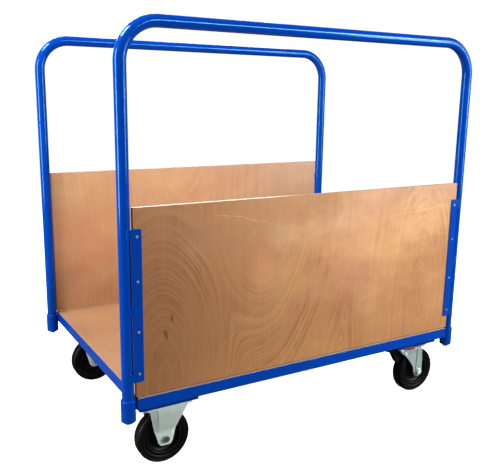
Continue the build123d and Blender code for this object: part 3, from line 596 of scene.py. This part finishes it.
def fork_leg(cx, cy, side):
    """One raked leg, 4 mm thick, folded along two upright creases."""
    zs = [60.0 + 8.0 * (1 - math.cos(math.pi / 2 * i / 7)) for i in range(8)]
    zs += [68.0 + (190.6 - 68.0) * i / 44 for i in range(1, 45)]
    nx = 96
    outer, inner = [], []
    for z in zs:
        table = [interp(LEVELS, z + d) if 60.0 <= z + d <= 191.0 else interp(LEVELS, z) for d in (-5, -2.5, 0, 2.5, 5)]
        half, fold, y, back = [sum(t[i] for t in table) / len(table) for i in range(4)]
        y = max(y, 29.0)
        if z < 68.0:
            half = min(half, 11.0 + math.sqrt(max(0.0, 64.0 - (68.0 - z) ** 2)))
        full = interp(LEVELS, max(z, 60.0))[0]
        ro, ri = [], []
        for i in range(nx + 1):
            x = half * (-1 + 2 * i / nx)
            wing = soft_step(abs(x) - fold, 2.2) * back / max(full - fold, 1.0)
            t = min(1.0, max(0.0, (abs(x) - fold + 1.0) / 4.0))
            bead = math.exp(-((abs(x) - fold - 1.0) / 1.9) ** 2)
            wing += (0.9 * t * t * (3 - 2 * t) + 2.0 * bead) * min(1.0, max(0.0, (z - 92.0) / 18.0)) * min(1.0, max(0.0, (half - fold) / 6.0))
            d = math.hypot(x, z - 80.0)
            boss = 0.9 * max(0.0, 1 - max(0.0, d - 12.5) / 3.0) if d < 15.5 else 0.0
            yy = y - wing
            ro.append((x, yy + 0.0 * boss, z))
            ri.append((x, max(yy - 4.0, 25.0) if z < 100 else yy - 4.0, z))
        outer.append(ro)
        inner.append(ri)
    verts, faces = [], []
    def idx(layer, r, c): return layer * len(zs) * (nx + 1) + r * (nx + 1) + c
    for layer in (outer, inner):
        for row in layer:
            for x, y, z in row:
                verts.append(Vector((cx + x * mm, cy + side * y * mm, z * mm)))
    R = len(zs)
    for r in range(R - 1):
        for c in range(nx):
            faces.append((idx(0, r, c), idx(0, r, c + 1), idx(0, r + 1, c + 1), idx(0, r + 1, c)))
            faces.append((idx(1, r, c), idx(1, r + 1, c), idx(1, r + 1, c + 1), idx(1, r, c + 1)))
        for c in (0, nx):
            faces.append((idx(0, r, c), idx(0, r + 1, c), idx(1, r + 1, c), idx(1, r, c)))
    for c in range(nx):
        faces.append((idx(0, 0, c), idx(1, 0, c), idx(1, 0, c + 1), idx(0, 0, c + 1)))
        faces.append((idx(0, R - 1, c), idx(0, R - 1, c + 1), idx(1, R - 1, c + 1), idx(1, R - 1, c)))
    return verts, faces


def plate_mesh(cx, cy, hx, hy, r, z0, z1, holes, lips=True):
    """Top plate with rounded corners, bolt holes and two turned-down end lips."""
    bm = bmesh.new()
    loop = []
    for qx, qy, a0 in ((1, 1, 0), (-1, 1, 90), (-1, -1, 180), (1, -1, 270)):
        for i in range(9):
            a = math.radians(a0 + 90 * i / 8)
            loop.append((cx + (qx * (hx - r) + r * math.cos(a)) * mm, cy + (qy * (hy - r) + r * math.sin(a)) * mm))
    edges = []
    vs = [bm.verts.new((x, y, z0 * mm)) for x, y in loop]
    edges += [bm.edges.new((vs[i], vs[(i + 1) % len(vs)])) for i in range(len(vs))]
    for (hx0, hy0, hr) in holes:
        hv = [bm.verts.new((cx + (hx0 + hr * math.cos(2 * math.pi * i / 24)) * mm, cy + (hy0 + hr * math.sin(2 * math.pi * i / 24)) * mm, z0 * mm)) for i in range(24)]
        edges += [bm.edges.new((hv[i], hv[(i + 1) % 24])) for i in range(24)]
    bmesh.ops.triangle_fill(bm, edges=edges, use_beauty=True)
    ext = bmesh.ops.extrude_face_region(bm, geom=list(bm.faces))
    bmesh.ops.translate(bm, verts=[v for v in ext["geom"] if isinstance(v, bmesh.types.BMVert)], vec=(0, 0, (z1 - z0) * mm))
    verts = [v.co.copy() for v in bm.verts]
    bm.verts.index_update()
    faces = [tuple(v.index for v in f.verts) for f in bm.faces]
    bm.free()
    if lips:
        for sx in (-1, 1):
            n0 = len(verts)
            prof = [(hx - 0.6, z0 + 1.0), (hx - 0.1, z0 - 1.0), (hx, z0 - 3.0), (hx, z0 - 7.0), (hx - 3.8, z0 - 7.0), (hx - 3.8, z0 - 1.8), (hx - 5.5, z0 + 0.4)]
            ys = [-50.0, -48.0, 48.0, 50.0]
            for k, yy in enumerate(ys):
                for (px, pz) in prof:
                    lowered = pz if not (k in (0, 3) and pz < z0 - 4) else pz + 2.0
                    verts.append(Vector((cx + sx * px * mm, cy + yy * mm, lowered * mm)))
            m = len(prof)
            for k in range(3):
                for i in range(m):
                    a, b = n0 + k * m + i, n0 + k * m + (i + 1) % m
                    faces.append((a, b, b + m, a + m))
            faces.append(tuple(range(n0, n0 + m)))
            faces.append(tuple(range(n0 + 3 * m, n0 + 4 * m)))
    return verts, faces


def edge_round(o, width, segments=3, angle=40.0):
    b = o.modifiers.new("round", "BEVEL")
    b.width, b.segments = width, segments
    b.limit_method, b.angle_limit = "ANGLE", math.radians(angle)
    b.miter_outer = "MITER_ARC"
    n = o.modifiers.new("normals", "WEIGHTED_NORMAL")
    n.keep_sharp = True
    n.weight = 60


HOLES = [(dx, dy, 5.5) for dx in (-52.5, 52.5) for dy in (-40.0, 40.0)]
for side_name, sy in (("front", -1), ("back", 1)):
    cx, cy = -0.465, sy * 0.318
    name = "fixed_fork_" + side_name
    first = None
    for leg_name, ls in (("a", -1), ("b", 1)):
        v, f = fork_leg(cx, cy, ls)
        o = finish_mesh(f"{name}_leg_{leg_name}", v, f, "zinc_plate", BODY[name], [name] if first is None else ())
        first = first or o
        sharpen(o, 40)
        edge_round(o, 0.0011)
    v, f = plate_mesh(cx, cy, 72.0, 63.0, 10.0, 190.0, 195.0, HOLES)
    o = finish_mesh(f"{name}_plate", v, f, "zinc_plate", BODY[name])
    sharpen(o, 30)
    edge_round(o, 0.0009)


# ---- weld beads
def bead(name, path, r, body="truck", slot="blue_paint", pitch=0.0026, sides=12):
    """Rippled fillet of weld metal along a line of points, tapered at both ends."""
    pts = []
    for a, b in zip(path[:-1], path[1:]):
        n = max(2, int((b - a).length / (pitch / 5)))
        pts += [a.lerp(b, i / n) for i in range(n)]
    pts.append(path[-1])
    verts, faces, s = [], [], 0.0
    total = sum((b - a).length for a, b in zip(pts[:-1], pts[1:]))
    rnd = random.Random(len(name) + int(total * 1e5))
    for i, p in enumerate(pts):
        if i:
            s += (pts[i] - pts[i - 1]).length
        t = (pts[min(i + 1, len(pts) - 1)] - pts[max(i - 1, 0)]).normalized()
        ref = Vector((0, 0, 1)) if abs(t.z) < 0.8 else Vector((1, 0, 0))
        u = t.cross(ref).normalized()
        v = t.cross(u).normalized()
        end = min(1.0, s / (r * 1.6), (total - s) / (r * 1.6))
        rr = r * math.sqrt(max(0.02, 1 - (1 - end) ** 2)) * (1 + 0.13 * abs(math.sin(math.pi * s / pitch)) + 0.03 * rnd.uniform(-1, 1))
        for j in range(sides):
            a = 2 * math.pi * j / sides
            verts.append(p + rr * (math.cos(a) * u + math.sin(a) * v))
    k = len(pts)
    for i in range(k - 1):
        for j in range(sides):
            a, b = i * sides + j, i * sides + (j + 1) % sides
            faces.append((a, b, b + sides, a + sides))
    faces.append(tuple(range(sides)))
    faces.append(tuple(range((k - 1) * sides, k * sides)))
    return finish_mesh(name, verts, faces, slot, body)


for en, sx in (("left", -1), ("right", 1)):
    for sn, sy in (("front", -1), ("back", 1)):
        y = sy * 0.393
        for tag, d in (("a", -1), ("b", 1)):
            yy = y + d * 0.0104
            bead(f"weld_socket_{sn}_{en}_{tag}", [Vector((sx * 0.5708, yy, 0.2205)), Vector((sx * 0.5708, yy, 0.2455))], 0.0021)
        for i, z in enumerate((0.311, 0.494, 0.693)):
            h = 0.0125 if z > 0.6 else 0.0105
            bead(f"weld_strip_{sn}_{en}_{i}", [Vector((sx * 0.5880, sy * 0.4087, z - h)), Vector((sx * 0.5880, sy * 0.4087, z + h))], 0.0017)
    cx = sx * 0.465
    for sn, sy in (("front", -1), ("back", 1)):
        for i, (a, b) in enumerate(((-0.082, -0.036), (-0.018, 0.018), (0.036, 0.082))):
            bead(f"weld_beam_{sn}_{en}_{i}", [Vector((cx + a, sy * 0.3818, 0.2172)), Vector((cx + b, sy * 0.3818, 0.2172))], 0.0022)
for i, x in enumerate((-0.465, -0.2325, 0.0, 0.2325, 0.465)):
    for sn, sy in (("front", -1), ("back", 1)):
        for tag, d in (("a", -1), ("b", 1)):
            bead(f"weld_bearer_{i}_{sn}_{tag}", [Vector((x + d * 0.0155, sy * 0.367, 0.2216)), Vector((x + d * 0.0155, sy * 0.395, 0.2216))], 0.0016)


# ---------------------------------------------------------------- stage
FLOOR_BOUNCE = 0.04
AMBIENT = 0.03
cam_data = bpy.data.cameras.new("camera")
cam = bpy.data.objects.new("camera", cam_data)
bpy.context.scene.collection.objects.link(cam)
cam_data.lens = 47.152
cam_data.sensor_width = 36.0
cam_data.sensor_fit = "HORIZONTAL"
rot = Matrix.Rotation(math.radians(-30.767), 4, "Z") @ Matrix.Rotation(math.radians(77.866), 4, "X") @ Matrix.Rotation(math.radians(0.882), 4, "Z")
cam.matrix_world = Matrix.Translation((-1.1367, -1.9266, 1.0371)) @ rot
cam_data.clip_start, cam_data.clip_end = 0.05, 100.0
bpy.context.scene.camera = cam


def panel_light(name, at, to, w, h, power, colour=(1, 1, 1), spread=180.0):
    d = bpy.data.lights.new(name, "AREA")
    d.shape = "RECTANGLE"
    d.size, d.size_y = w, h
    d.energy = power
    d.color = colour
    d.spread = math.radians(spread)
    o = bpy.data.objects.new(name, d)
    bpy.context.scene.collection.objects.link(o)
    o.location = at
    o.rotation_mode = "QUATERNION"
    o.rotation_quaternion = (Vector(to) - Vector(at)).to_track_quat("-Z", "Y")
    return o


panel_light("key_right", (1.50, -1.75, 1.40), (0.45, -0.4, 0.65), 0.6, 1.2, 13)
panel_light("bar_bank", (1.35, -2.5, 1.75), (0.0, -0.3, 0.9), 2.2, 0.36, 70)
panel_light("far_right", (3.0, -1.4, 1.5), (0.0, -0.2, 0.6), 0.9, 1.6, 10)
panel_light("low_right", (3.3, -3.4, 0.75), (0.3, -0.4, 0.55), 1.1, 1.0, 34)
panel_light("left_strip", (-3.0, -0.25, 1.2), (0.0, 0.1, 0.6), 0.75, 1.9, 75)
panel_light("top_left", (-1.8, 0.0, 3.0), (-0.2, 0.1, 0.3), 1.6, 0.8, 100)
panel_light("back_bank", (1.2, 3.6, 1.9), (0.0, 0.0, 0.6), 2.4, 0.6, 60)

world = bpy.data.worlds.new("studio")
world.use_nodes = True
bpy.context.scene.world = world
nt = world.node_tree
nt.nodes.clear()
wo = nt.nodes.new("ShaderNodeOutputWorld")
seen = nt.nodes.new("ShaderNodeBackground")
seen.inputs[0].default_value = (1, 1, 1, 1)
seen.inputs[1].default_value = 1.05
amb = nt.nodes.new("ShaderNodeBackground")
amb.inputs[0].default_value = (0.94, 0.97, 1.0, 1)
amb.inputs[1].default_value = AMBIENT
lp = nt.nodes.new("ShaderNodeLightPath")
mx = nt.nodes.new("ShaderNodeMixShader")
nt.links.new(lp.outputs["Is Camera Ray"], mx.inputs[0])
nt.links.new(amb.outputs[0], mx.inputs[1])
nt.links.new(seen.outputs[0], mx.inputs[2])
nt.links.new(mx.outputs[0], wo.inputs[0])

me = bpy.data.meshes.new("floor")
S = 24.0
me.from_pydata([(-S, -S, 0), (S, -S, 0), (S, S, 0), (-S, S, 0)], [], [(0, 1, 2, 3)])
floor = bpy.data.objects.new("floor", me)
bpy.context.scene.collection.objects.link(floor)
g = Graph("floor_paper")
fn = g.noise(g.obj, 2.0, 3.0)
fc = g.mix(fn, (0.90, 0.90, 0.90), (0.93, 0.93, 0.93))
flp = g.new("ShaderNodeLightPath")
fc = g.mix(flp.outputs["Is Camera Ray"], g.mix(flp.outputs["Is Glossy Ray"], (0.12, 0.12, 0.12), (0.035, 0.035, 0.035)), fc)
paper = g.bsdf(Base_Color=fc, Roughness=0.9, Specular_IOR_Level=0.1)
glow = g.new("ShaderNodeEmission")
glow.inputs[0].default_value = (1.0, 1.0, 1.0, 1.0)
g.link(g.mixf(flp.outputs["Is Camera Ray"], FLOOR_BOUNCE, 1.0), glow.inputs[1])
both = g.new("ShaderNodeAddShader")
g.link(paper.outputs[0], both.inputs[0])
g.link(glow.outputs[0], both.inputs[1])
g.link(both.outputs[0], g.out.inputs[0])
me.materials.append(g.mat)

sc = bpy.context.scene
sc.view_settings.view_transform = "Standard"
sc.view_settings.look = "None"
sc.view_settings.exposure = 0.0
sc.view_settings.gamma = 1.0
